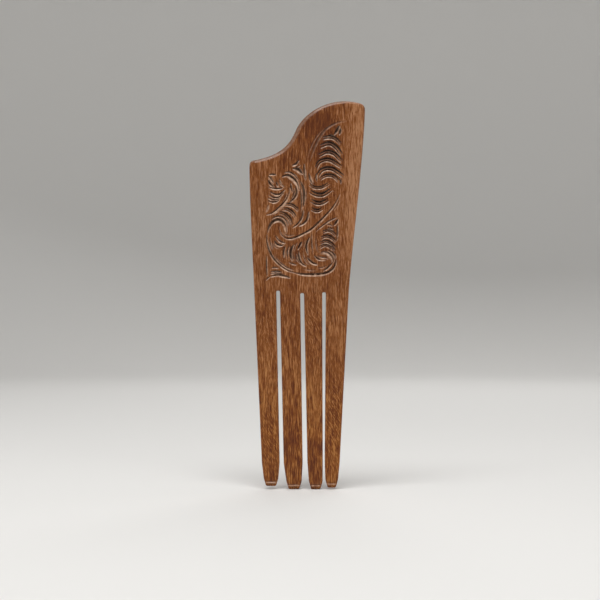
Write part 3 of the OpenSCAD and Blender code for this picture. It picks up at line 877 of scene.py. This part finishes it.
class Graph:
    """The node graph of one material."""

    def __init__(self, name: str) -> None:
        """Starts an empty material with that name."""
        self.material = bpy.data.materials.new(name)
        self.material.use_nodes = True
        self.nodes = self.material.node_tree.nodes
        self.links = self.material.node_tree.links
        self.nodes.clear()

    def add(self, kind: str, settings: dict | None = None, inputs: dict | None = None,
            output: str | int = 0) -> Wire:
        """Adds a node.

        Args:
            kind: The node's type.
            settings: Its properties, or the stops of a ramp, which are set first.
            inputs: Values or wires for its sockets, by name or number.
            output: The output to return, by name or number.

        Returns:
            The chosen output.
        """
        node = self.nodes.new(kind)
        for key, value in (settings or {}).items():
            if key == "stops":
                self._fill_ramp(node.color_ramp, value)
            else:
                setattr(node, key, value)
        for key, value in (inputs or {}).items():
            if isinstance(value, Wire):
                self.links.new(value.socket, node.inputs[key])
            else:
                node.inputs[key].default_value = value
        return Wire(self, node.outputs[output])

    @staticmethod
    def _fill_ramp(ramp: bpy.types.ColorRamp, stops: list[tuple[float, tuple]]) -> None:
        """Puts stops on a colour ramp.

        Args:
            ramp: The ramp.
            stops: The stops, as (place, colour).
        """
        while len(ramp.elements) < len(stops):
            ramp.elements.new(0.5)
        for element, (place, colour) in zip(ramp.elements, stops):
            element.position = place
            element.color = colour

    def finish(self, shader: Wire) -> bpy.types.Material:
        """Joins the shader to the material's output and returns the material."""
        out = self.nodes.new("ShaderNodeOutputMaterial")
        self.links.new(shader.socket, out.inputs["Surface"])
        return self.material

    def blend(self, share: Wire | float, a: Wire | tuple, b: Wire | tuple, how: str = "MIX") -> Wire:
        """Returns a mix of two colours, by the share of the second."""
        return self.add("ShaderNodeMix", {"data_type": "RGBA", "blend_type": how}, {0: share, 6: a, 7: b}, 2)

    def stretch(self, vector: Wire, by: Triple, turn: float = 0.0) -> Wire:
        """Returns a vector turned in the plane of the board and scaled on each axis."""
        if turn:
            vector = self.add("ShaderNodeVectorRotate", {"rotation_type": "Y_AXIS"},
                              {0: vector, "Angle": turn})
        return self.add("ShaderNodeVectorMath", {"operation": "MULTIPLY"}, {0: vector, 1: by})

    def cloud(self, vector: Wire, detail: float = 2.0, roughness: float = 0.5,
              output: str | int = 0) -> Wire:
        """Returns a noise pattern, one cell to each unit of the vector."""
        inputs = {"Vector": vector, "Scale": 1.0, "Detail": detail, "Roughness": roughness}
        return self.add("ShaderNodeTexNoise", {}, inputs, output)


@dataclass(frozen=True)
class OiledHardwood:
    """Close-grained brown hardwood with an oil finish, its grain running along the teeth.

    Sizes of a pattern are cells to a millimetre across the board, through it and along the grain.
    """

    name: str
    dark: Triple = (0.33, 0.150, 0.030)
    body: Triple = (0.475, 0.265, 0.095)
    pale: Triple = (0.65, 0.455, 0.31)
    amber: Triple = (1.07, 0.96, 0.49)
    pore: Triple = (0.20, 0.08, 0.025)
    # Colour of the painted shade in the cuts
    cut_shade: Triple = (0.10, 0.035, 0.012)
    # Colour of the painted highlights on lips, ridges, tips and edges
    painted_highlight: Triple = (0.83, 0.70, 0.60)
    # Colour of the painted sheen on the rounded rim of the upper head
    rim_sheen: Triple = (0.43, 0.32, 0.26)
    drift_size: Triple = (0.09, 0.09, 0.06)
    drift: Triple = (2.2, 2.2, 0.0)
    streak_size: Triple = (2.3, 2.3, 0.14)
    band_size: Triple = (0.32, 0.32, 0.035)
    thread_size: Triple = (2.8, 2.8, 0.36)
    speck_size: Triple = (3.2, 3.2, 0.55)
    patch_size: Triple = (0.16, 0.16, 0.06)
    glow_size: Triple = (0.55, 0.55, 0.55)
    fleck_size: Triple = (2.0, 2.0, 0.30)
    fleck_turn: float = 0.45
    chatter_size: Triple = (1.2, 1.2, 1.2)
    pore_edges: tuple[float, float] = (0.58, 0.72)
    patch_edges: tuple[float, float] = (0.36, 0.60)
    fleck_edges: tuple[float, float] = (0.46, 0.64)
    glow_edges: tuple[float, float] = (0.36, 0.64)
    tones: tuple[float, ...] = (0.12, 0.50, 0.92)
    streaks: float = 2.1
    bands: float = 0.45
    specks: float = 0.7
    tone_and_painted_light_gain: float = 0.45
    flecks: float = 0.6
    chatters: float = 1.8
    pore_share: float = 0.40
    cut_shade_share: float = 0.94
    painted_highlight_share: tuple[float, float] = (0.24, 0.55)
    rim_sheen_share: tuple[float, float] = (0.4, 0.6)
    satin: float = 0.5
    specular: float = 0.12
    coat: float = 0.34
    coat_roughness: float = 0.25
    relief: float = 0.12 * MM
    relief_strength: float = 0.7

    def build(self) -> bpy.types.Material:
        """Builds the material.

        Returns:
            The material.
        """
        g = Graph(self.name)
        place = g.add("ShaderNodeTexCoord", output="Object")
        mm = g.add("ShaderNodeVectorMath", {"operation": "SCALE"}, {0: place, "Scale": 1 / MM})
        drift = g.cloud(g.stretch(mm, self.drift_size), 2.0, 0.5, output=1)
        sway = g.add("ShaderNodeVectorMath", {"operation": "MULTIPLY_ADD"}, {0: drift, 1: self.drift, 2: mm})
        fine = g.cloud(g.stretch(sway, self.streak_size), 3.0, 0.60)
        broad = g.cloud(g.stretch(sway, self.band_size), 3.0, 0.5)
        threads = g.cloud(g.stretch(sway, self.thread_size), 2.0, 0.6)
        speckle = g.cloud(g.stretch(sway, self.speck_size), 2.0, 0.6)
        patch = g.cloud(g.stretch(mm, self.patch_size))
        glow = g.cloud(g.stretch(mm, self.glow_size), 2.0, 0.6)
        slant = g.cloud(g.stretch(mm, self.fleck_size, turn=self.fleck_turn), 2.0, 0.6)
        rough = g.cloud(g.stretch(mm, self.chatter_size), 3.0, 0.65)
        tone_and_painted_light, fleck, grit, carved, painted_highlight, rim_sheen, amber = (
            g.add("ShaderNodeAttribute", {"attribute_name": name}, output="Fac")
            for name in ("tone_and_painted_light", "fleck", "grit", "carved", "painted_highlight", "rim_sheen", "amber"))
        pores = threads.step(*self.pore_edges) * (patch.step(*self.patch_edges) * 0.7 + 0.3)
        flecks = (slant.step(*self.fleck_edges) - 0.45) * fleck * self.flecks
        chatter = (rough - 0.5) * grit
        streaks = (fine - 0.5) * self.streaks * (1 - fleck * 0.5) * (1 + amber * 0.4)
        # The tone takes in patches of painted glare and painted shade
        tone = (streaks + (broad - 0.5) * self.bands + (speckle - 0.5) * self.specks + tone_and_painted_light * self.tone_and_painted_light_gain
                + flecks + chatter * self.chatters + 0.5)
        colours = (linear(self.dark), linear(self.body), linear(self.pale))
        wood = g.add("ShaderNodeValToRGB", {"stops": list(zip(self.tones, colours))}, {0: tone})
        wood = g.blend(amber, wood, (*self.amber, 1.0), how="MULTIPLY")
        wood = g.blend(pores * self.pore_share, wood, linear(self.pore))
        # Painted sheen on the rounded rim of the upper head, varied with the grain
        rim_sheen_strength = fine * self.rim_sheen_share[1] + self.rim_sheen_share[0]
        wood = g.blend(rim_sheen * rim_sheen_strength, wood, linear(self.rim_sheen))
        # Painted shade in the cuts, kept off their lips and ridges
        wood = g.blend(carved * self.cut_shade_share, wood, linear(self.cut_shade))
        # Painted highlight on lips, ridges, tips and edges, patchy along its length
        highlight_strength = glow.step(*self.glow_edges) * self.painted_highlight_share[1] + self.painted_highlight_share[0]
        wood = g.blend(painted_highlight * highlight_strength, wood, linear(self.painted_highlight))
        height = fine + threads * 0.5 - pores * 0.8 + flecks + chatter
        bump = g.add("ShaderNodeBump", {}, {"Strength": self.relief_strength, "Distance": self.relief,
                                            "Height": height})
        return g.finish(g.add("ShaderNodeBsdfPrincipled", {}, {
            "Base Color": wood, "Normal": bump, "IOR": 1.5, "Specular IOR Level": self.specular,
            "Roughness": (fine - 0.5) * 0.3 + pores * 0.15 - painted_highlight * 0.15 + self.satin,
            "Coat Weight": painted_highlight * 0.3 - carved * self.coat + self.coat,
            "Coat Roughness": self.coat_roughness}))


@dataclass(frozen=True)
class MattePaper:
    """Plain pale studio surface."""

    name: str
    colour: Triple = (0.86, 0.855, 0.845)
    roughness: float = 0.9

    def build(self) -> bpy.types.Material:
        """Builds the material and returns it."""
        g = Graph(self.name)
        return g.finish(g.add("ShaderNodeBsdfPrincipled", {}, {"Base Color": linear(self.colour),
                                                               "Roughness": self.roughness}))


# ---------------------------------------------------------------------------- pieces


class Zone(NamedTuple):
    """A soft oval patch of the wood: its middle, its half width and height, and its strength."""

    x: float
    z: float
    half_w: float
    half_h: float
    strength: float


# How fast a patch fades from its middle
ZONE_FADE = 1.5

# Patches where the wood is paler or, below 0, darker. The first is a painted glare on the right border and
# the last four are painted shade over the carved fans
TONES_AND_PAINTED_LIGHT = [
    # Painted glare on the right border
    Zone(27.0, 50.0, 8.0, 75.0, 0.68),
    Zone(-24.0, 35.0, 6.0, 45.0, 0.05),
    Zone(8.0, 82.0, 14.0, 18.0, -0.65),
    Zone(-6.0, 66.0, 14.0, 9.0, -0.30),
    Zone(-5.0, -80.0, 5.0, 18.0, -0.50),
    Zone(6.0, -84.0, 4.5, 16.0, -0.72),
    Zone(-16.0, -48.0, 6.0, 40.0, 0.30),
    Zone(6.5, -48.0, 4.0, 24.0, 0.35),
    Zone(14.5, -75.0, 5.0, 26.0, 0.35),
    Zone(5.0, -8.0, 4.5, 12.0, 0.25),
    Zone(-6.0, -15.0, 4.5, 14.0, -0.20),
    # Painted shade over the carved fans
    Zone(13.0, 66.0, 7.0, 13.0, -0.30),
    Zone(9.0, 46.5, 6.0, 7.0, -0.30),
    Zone(13.0, 25.0, 4.5, 7.0, -0.35),
    Zone(-2.0, 19.5, 10.0, 7.0, -0.35),
]

# Patches that the gouge has left rough
GRIT = [
    Zone(13.0, 66.0, 8.0, 15.0, 1.0),
    Zone(9.0, 47.0, 8.0, 9.0, 0.9),
    Zone(13.0, 25.0, 6.0, 9.0, 1.0),
    Zone(-3.0, 20.0, 12.0, 9.0, 0.9),
    Zone(-9.0, 46.0, 10.0, 14.0, 0.7),
]

# Patches of slanted flecks
FLECKS = [
    Zone(-15.5, -72.0, 6.0, 22.0, 1.0),
    Zone(15.5, -60.0, 6.0, 30.0, 1.0),
    Zone(-16.0, -18.0, 6.0, 18.0, 0.6),
    Zone(5.5, -14.0, 5.0, 18.0, 0.9),
]


def zone_sum(zones: list[Zone], x: np.ndarray, z: np.ndarray) -> np.ndarray:
    """Adds up soft oval patches.

    Args:
        zones: The patches.
        x: Places across the comb.
        z: Heights on the comb.

    Returns:
        Their sum at each place.
    """
    total = np.zeros(len(x))
    for zone in zones:
        away = ((x - zone.x) / zone.half_w) ** 2 + ((z - zone.z) / zone.half_h) ** 2
        total += zone.strength * np.exp(-ZONE_FADE * away)
    return total


def fade(along: np.ndarray, span: tuple[float, float]) -> np.ndarray:
    """Returns a straight climb from 0 to 1, given where it starts and how far it runs."""
    return np.clip((along - span[0]) / span[1], 0, 1)


def write_mesh(name: str, shape: bmesh.types.BMesh, material: bpy.types.Material) -> bpy.types.Object:
    """Turns a finished shape into an object at the origin.

    Args:
        name: The object's name.
        shape: The shape, in millimetres. It is freed.
        material: The finish.

    Returns:
        The object, with its mesh in metres.
    """
    bmesh.ops.scale(shape, vec=(MM, MM, MM), verts=shape.verts[:])
    mesh = bpy.data.meshes.new(name)
    shape.to_mesh(mesh)
    shape.free()
    mesh.materials.append(material)
    made = bpy.data.objects.new(name, mesh)
    bpy.context.scene.collection.objects.link(made)
    return made


@dataclass
class MarksAndPaintedLight:
    """Where the cuts get painted shade, the lips, ridges and edges painted highlights, and the upper rim a
    painted sheen.
    """

    plan: BoardPlan
    carving: Carving
    tip_marks: TipMarks
    lip_below: tuple[float, float] = (0.0, 0.42)
    lip_beside: tuple[float, float] = (-0.34, 0.1)
    beside_share: float = 0.8
    lip_gain: float = 2.4
    lip_loss: float = 3.6
    cut_shade_gain: float = 2.0
    edge_fade: tuple[float, float] = (0.1, 0.5)
    wall_fade: tuple[float, float] = (0.7, 0.3)
    wall_loss: float = 0.75
    edge_highlight_fade: tuple[float, float] = (-10.0, 50.0)
    edge_highlight_share: tuple[float, float] = (0.25, 0.5)
    tip_fade: tuple[float, float] = (8.0, 1.5)
    amber_fade: tuple[float, float] = (-12.0, 80.0)
    rim_sheen_fade: tuple[float, float] = (46.0, 16.0)

    def write(self, mesh: bpy.types.Mesh) -> None:
        """Writes the marks on a finished mesh, for its material to read.

        Args:
            mesh: The mesh, in metres.
        """
        places = np.zeros(len(mesh.vertices) * 3)
        mesh.vertices.foreach_get("co", places)
        x, y, z = places.reshape(-1, 3).T / MM
        for name, values in self._marks(x, y, z).items():
            mesh.attributes.new(name, "FLOAT", "POINT").data.foreach_set("value", values.astype(np.float32))

    def _marks(self, x: np.ndarray, y: np.ndarray, z: np.ndarray) -> dict[str, np.ndarray]:
        """Works out every mark.

        Args:
            x: Places across the comb.
            y: Places through the board.
            z: Heights on the comb.

        Returns:
            The strength of each mark at each place.
        """
        front = y < 0
        deep = self.carving.depth_at(x, z) * front
        # Painted highlights on the lips below the cuts and, weaker, to their lower right
        lip = np.maximum(self._lip(x, z, deep, self.lip_below),
                         self.beside_share * self._lip(x, z, deep, self.lip_beside)) * front
        # Painted highlight on the ridges between the cuts and above the tip bevels
        ridge_highlight = np.clip(self.carving.ridge_highlight_at(x, z) + self.tip_marks.ridge_highlight_at(x, z), 0, 1) * front
        in_from_face = self.plan.board_t / 2 - np.abs(y)
        edge, wall = fade(in_from_face, self.edge_fade), fade(in_from_face, self.wall_fade)
        tips = fade(-self.plan.narrow_h - z, self.tip_fade)
        # Painted highlight along the rounded edges, stronger lower down, weaker on the side walls and none at
        # the tips
        highlight_strength = self.edge_highlight_share[0] + self.edge_highlight_share[1] * fade(-z, self.edge_highlight_fade)
        edge_highlight = edge * (1 - self.wall_loss * wall) * highlight_strength * (1 - tips)
        # Painted shade in the cuts, left off their lips and ridges
        dark = np.clip(deep / self.carving.depth * self.cut_shade_gain, 0, 1)
        return {"carved": dark * (1 - lip) * (1 - ridge_highlight),
                # Painted highlight: lips, ridges and edges together
                "painted_highlight": np.maximum(np.maximum(lip, ridge_highlight), edge_highlight),
                "amber": fade(-z, self.amber_fade),
                # Painted sheen on the rounded rim of the upper head
                "rim_sheen": edge * fade(z, self.rim_sheen_fade),
                # Tone patches, with painted glare and painted shade among them
                "tone_and_painted_light": zone_sum(TONES_AND_PAINTED_LIGHT, x, z), "fleck": zone_sum(FLECKS, x, z),
                "grit": np.clip(zone_sum(GRIT, x, z), 0, 1) * front}

    def _lip(self, x: np.ndarray, z: np.ndarray, deep: np.ndarray, away: tuple[float, float]) -> np.ndarray:
        """Finds the lips of the cuts, which get a painted highlight.

        Args:
            x: Places across the comb.
            z: Heights on the comb.
            deep: Depth of the carving at the places.
            away: Where the cut that a lip belongs to lies, across and up.

        Returns:
            1 on a lip, falling to 0 beside it.
        """
        beyond = self.carving.depth_at(x + away[0], z + away[1], lips_only=True)
        return np.clip((beyond * self.lip_gain - deep * self.lip_loss) / self.carving.depth, 0, 1)


@dataclass
class CombPiece:
    """One piece of the comb, cut out of the finished blank."""

    name: str
    node: str
    slot: str
    plan: BoardPlan
    marks_and_painted_light: MarksAndPaintedLight
    finish: bpy.types.Material

    def make(self, blank: bmesh.types.BMesh) -> bpy.types.Object:
        """Cuts the piece out, dresses it and fixes it to the frame.

        Args:
            blank: The whole comb, which is left as it is.

        Returns:
            The finished piece.
        """
        shape = blank.copy()
        self._cut(shape)
        self._cap(shape)
        piece = write_mesh(self.name, shape, self.finish)
        self.marks_and_painted_light.write(piece.data)
        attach(piece, "root")
        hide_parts(self.node)
        LOG.info("%s: %d faces", self.name, len(piece.data.polygons))
        return piece

    def _cut(self, shape: bmesh.types.BMesh) -> None:
        """Takes away the wood that belongs to the other pieces."""
        raise NotImplementedError

    def _part(self, shape: bmesh.types.BMesh, keep_above: bool) -> None:
        """Saws the shape level at the foot of the head.

        Args:
            shape: The whole comb.
            keep_above: Whether the head is kept, or the teeth.
        """
        everything = shape.verts[:] + shape.edges[:] + shape.faces[:]
        bmesh.ops.bisect_plane(shape, geom=everything, plane_co=(0, 0, self.plan.foot_z), plane_no=(0, 0, 1),
                               clear_inner=keep_above, clear_outer=not keep_above)

    @staticmethod
    def _cap(shape: bmesh.types.BMesh) -> None:
        """Closes the sawn ends with flat faces and crisp edges, and shades the rest smooth.

        Args:
            shape: The cut piece.
        """
        for face in shape.faces:
            face.smooth = True
        rims = [edge for edge in shape.edges if edge.is_boundary]
        for face in bmesh.ops.holes_fill(shape, edges=rims, sides=0)["faces"]:
            face.smooth = False
            for edge in face.edges:
                edge.smooth = False
        bmesh.ops.recalc_face_normals(shape, faces=shape.faces[:])


@dataclass
class CarvedHead(CombPiece):
    """The broad carved head."""

    def _cut(self, shape: bmesh.types.BMesh) -> None:
        """Takes the teeth away."""
        self._part(shape, keep_above=True)


@dataclass
class Tooth(CombPiece):
    """One long tapered tooth, counted from the left."""

    index: int = 0
    slack: float = 0.3

    def _cut(self, shape: bmesh.types.BMesh) -> None:
        """Takes the head and the other teeth away.

        Args:
            shape: The whole comb.
        """
        self._part(shape, keep_above=False)
        others = []
        for face in shape.faces:
            centre = face.calc_center_median()
            left = self.plan.left_edge(self.index, centre.z) - self.slack
            right = self.plan.right_edge(self.index, centre.z) + self.slack
            if not left < centre.x < right:
                others.append(face)
        bmesh.ops.delete(shape, geom=others, context="FACES")


# ---------------------------------------------------------------------------- studio


class Lamp(NamedTuple):
    """A soft rectangular light that faces the comb: its name, place, width and height, and power."""

    name: str
    at: tuple[float, float, float]
    size: tuple[float, float]
    power: float


LAMPS = [
    Lamp("key", (-0.12, -0.48, 1.00), (0.9, 0.6), 12.0),
    Lamp("front", (0.45, -1.0, 0.55), (0.5, 0.5), 1.2),
    Lamp("left", (-1.1, 0.1, 0.5), (0.6, 0.6), 1.5),
    Lamp("right", (1.1, 0.2, 0.5), (0.6, 0.6), 1.5),
    Lamp("back", (0.2, 1.1, 0.7), (0.9, 0.7), 5.0),
]


@dataclass
class Studio:
    """Pale coved floor, soft lights and the camera. Its sizes are in metres."""

    floor_z: float
    face_y: float
    floor_r: float = 1.7
    cove_r: float = 0.5
    wall_h: float = 1.6
    cove_steps: int = 12
    floor_steps: int = 96
    room: tuple[float, float, float, float] = (1.0, 0.985, 0.96, 1.0)
    room_light: float = 0.12
    lens: float = 100.0
    distance: float = 0.815
    aim_x: float = -1.03 * MM
    aim_z: float = -3.33 * MM

    def build(self) -> None:
        """Sets the studio up."""
        self._backdrop()
        for lamp in LAMPS:
            self._hang(lamp)
        self._world()
        self._camera()

    def _backdrop(self) -> None:
        """Spins a floor that curves up into a wall, far from the comb on every side."""
        shape = bmesh.new()
        profile = [(0.0, 0.0), (self.floor_r - self.cove_r, 0.0)]
        for i in range(1, self.cove_steps + 1):
            angle = math.pi / 2 * i / self.cove_steps
            profile.append((self.floor_r - self.cove_r + self.cove_r * math.sin(angle),
                            self.cove_r * (1 - math.cos(angle))))
        profile.append((self.floor_r, self.wall_h))
        verts = [shape.verts.new((x, 0, z + self.floor_z)) for x, z in profile]
        edges = [shape.edges.new(pair) for pair in zip(verts, verts[1:])]
        bmesh.ops.spin(shape, geom=verts + edges, cent=(0, 0, 0), axis=(0, 0, 1), angle=2 * math.pi,
                       steps=self.floor_steps, use_merge=True, dvec=(0, 0, 0))
        bmesh.ops.remove_doubles(shape, verts=shape.verts[:], dist=1e-5)
        bmesh.ops.recalc_face_normals(shape, faces=shape.faces[:])
        bmesh.ops.reverse_faces(shape, faces=shape.faces[:])
        for face in shape.faces:
            face.smooth = True
        bmesh.ops.scale(shape, vec=(1 / MM,) * 3, verts=shape.verts[:])
        write_mesh("studio_floor", shape, MattePaper("pale_paper").build())

    @staticmethod
    def _hang(lamp: Lamp) -> None:
        """Hangs one light and turns it towards the comb.

        Args:
            lamp: The light.
        """
        light = bpy.data.lights.new(lamp.name, "AREA")
        light.shape = "RECTANGLE"
        light.size, light.size_y = lamp.size
        light.energy = lamp.power
        made = bpy.data.objects.new(lamp.name, light)
        made.location = lamp.at
        made.rotation_euler = (-Vector(lamp.at)).to_track_quat("-Z", "Y").to_euler()
        bpy.context.scene.collection.objects.link(made)

    def _world(self) -> None:
        """Fills the room with even pale light."""
        world = bpy.data.worlds.new("room")
        world.use_nodes = True
        background = world.node_tree.nodes["Background"]
        background.inputs["Color"].default_value = self.room
        background.inputs["Strength"].default_value = self.room_light
        bpy.context.scene.world = world
        bpy.context.scene.view_settings.view_transform = "Standard"

    def _camera(self) -> None:
        """Sets the camera level in front of the carved face."""
        data = bpy.data.cameras.new("camera")
        data.lens = self.lens
        camera = bpy.data.objects.new("camera", data)
        camera.location = (self.aim_x, self.face_y - self.distance, self.aim_z)
        camera.rotation_euler = (math.pi / 2, 0, 0)
        bpy.context.scene.collection.objects.link(camera)
        bpy.context.scene.camera = camera


# ---------------------------------------------------------------------------- assembly

TOOTH_NAMES = ("left_outer_tooth", "left_inner_tooth", "right_inner_tooth", "right_outer_tooth")


def main() -> None:
    """Builds the comb and the studio, and notes the size of the finished model."""
    logging.basicConfig(level=logging.INFO, format="%(message)s")
    plan = BoardPlan()
    tip_marks = TipMarks(plan)
    carving = Carving(cuts=tip_marks.scores())
    marks_and_painted_light = MarksAndPaintedLight(plan, carving, tip_marks)
    blank = Blank(plan, carving).build()
    head_wood = OiledHardwood("head_wood").build()
    tooth_wood = OiledHardwood("comb_tooth_wood").build()
    CarvedHead("carved_head", "head", "carved_wood", plan, marks_and_painted_light, head_wood).make(blank)
    for i, name in enumerate(TOOTH_NAMES):
        Tooth(name, f"tooth_{i + 1}", "tooth_wood", plan, marks_and_painted_light, tooth_wood, i).make(blank)
    blank.free()
    Studio(floor_z=min(plan.tip_z) * MM, face_y=-plan.board_t / 2 * MM).build()


if __name__ == "__main__":
    main()
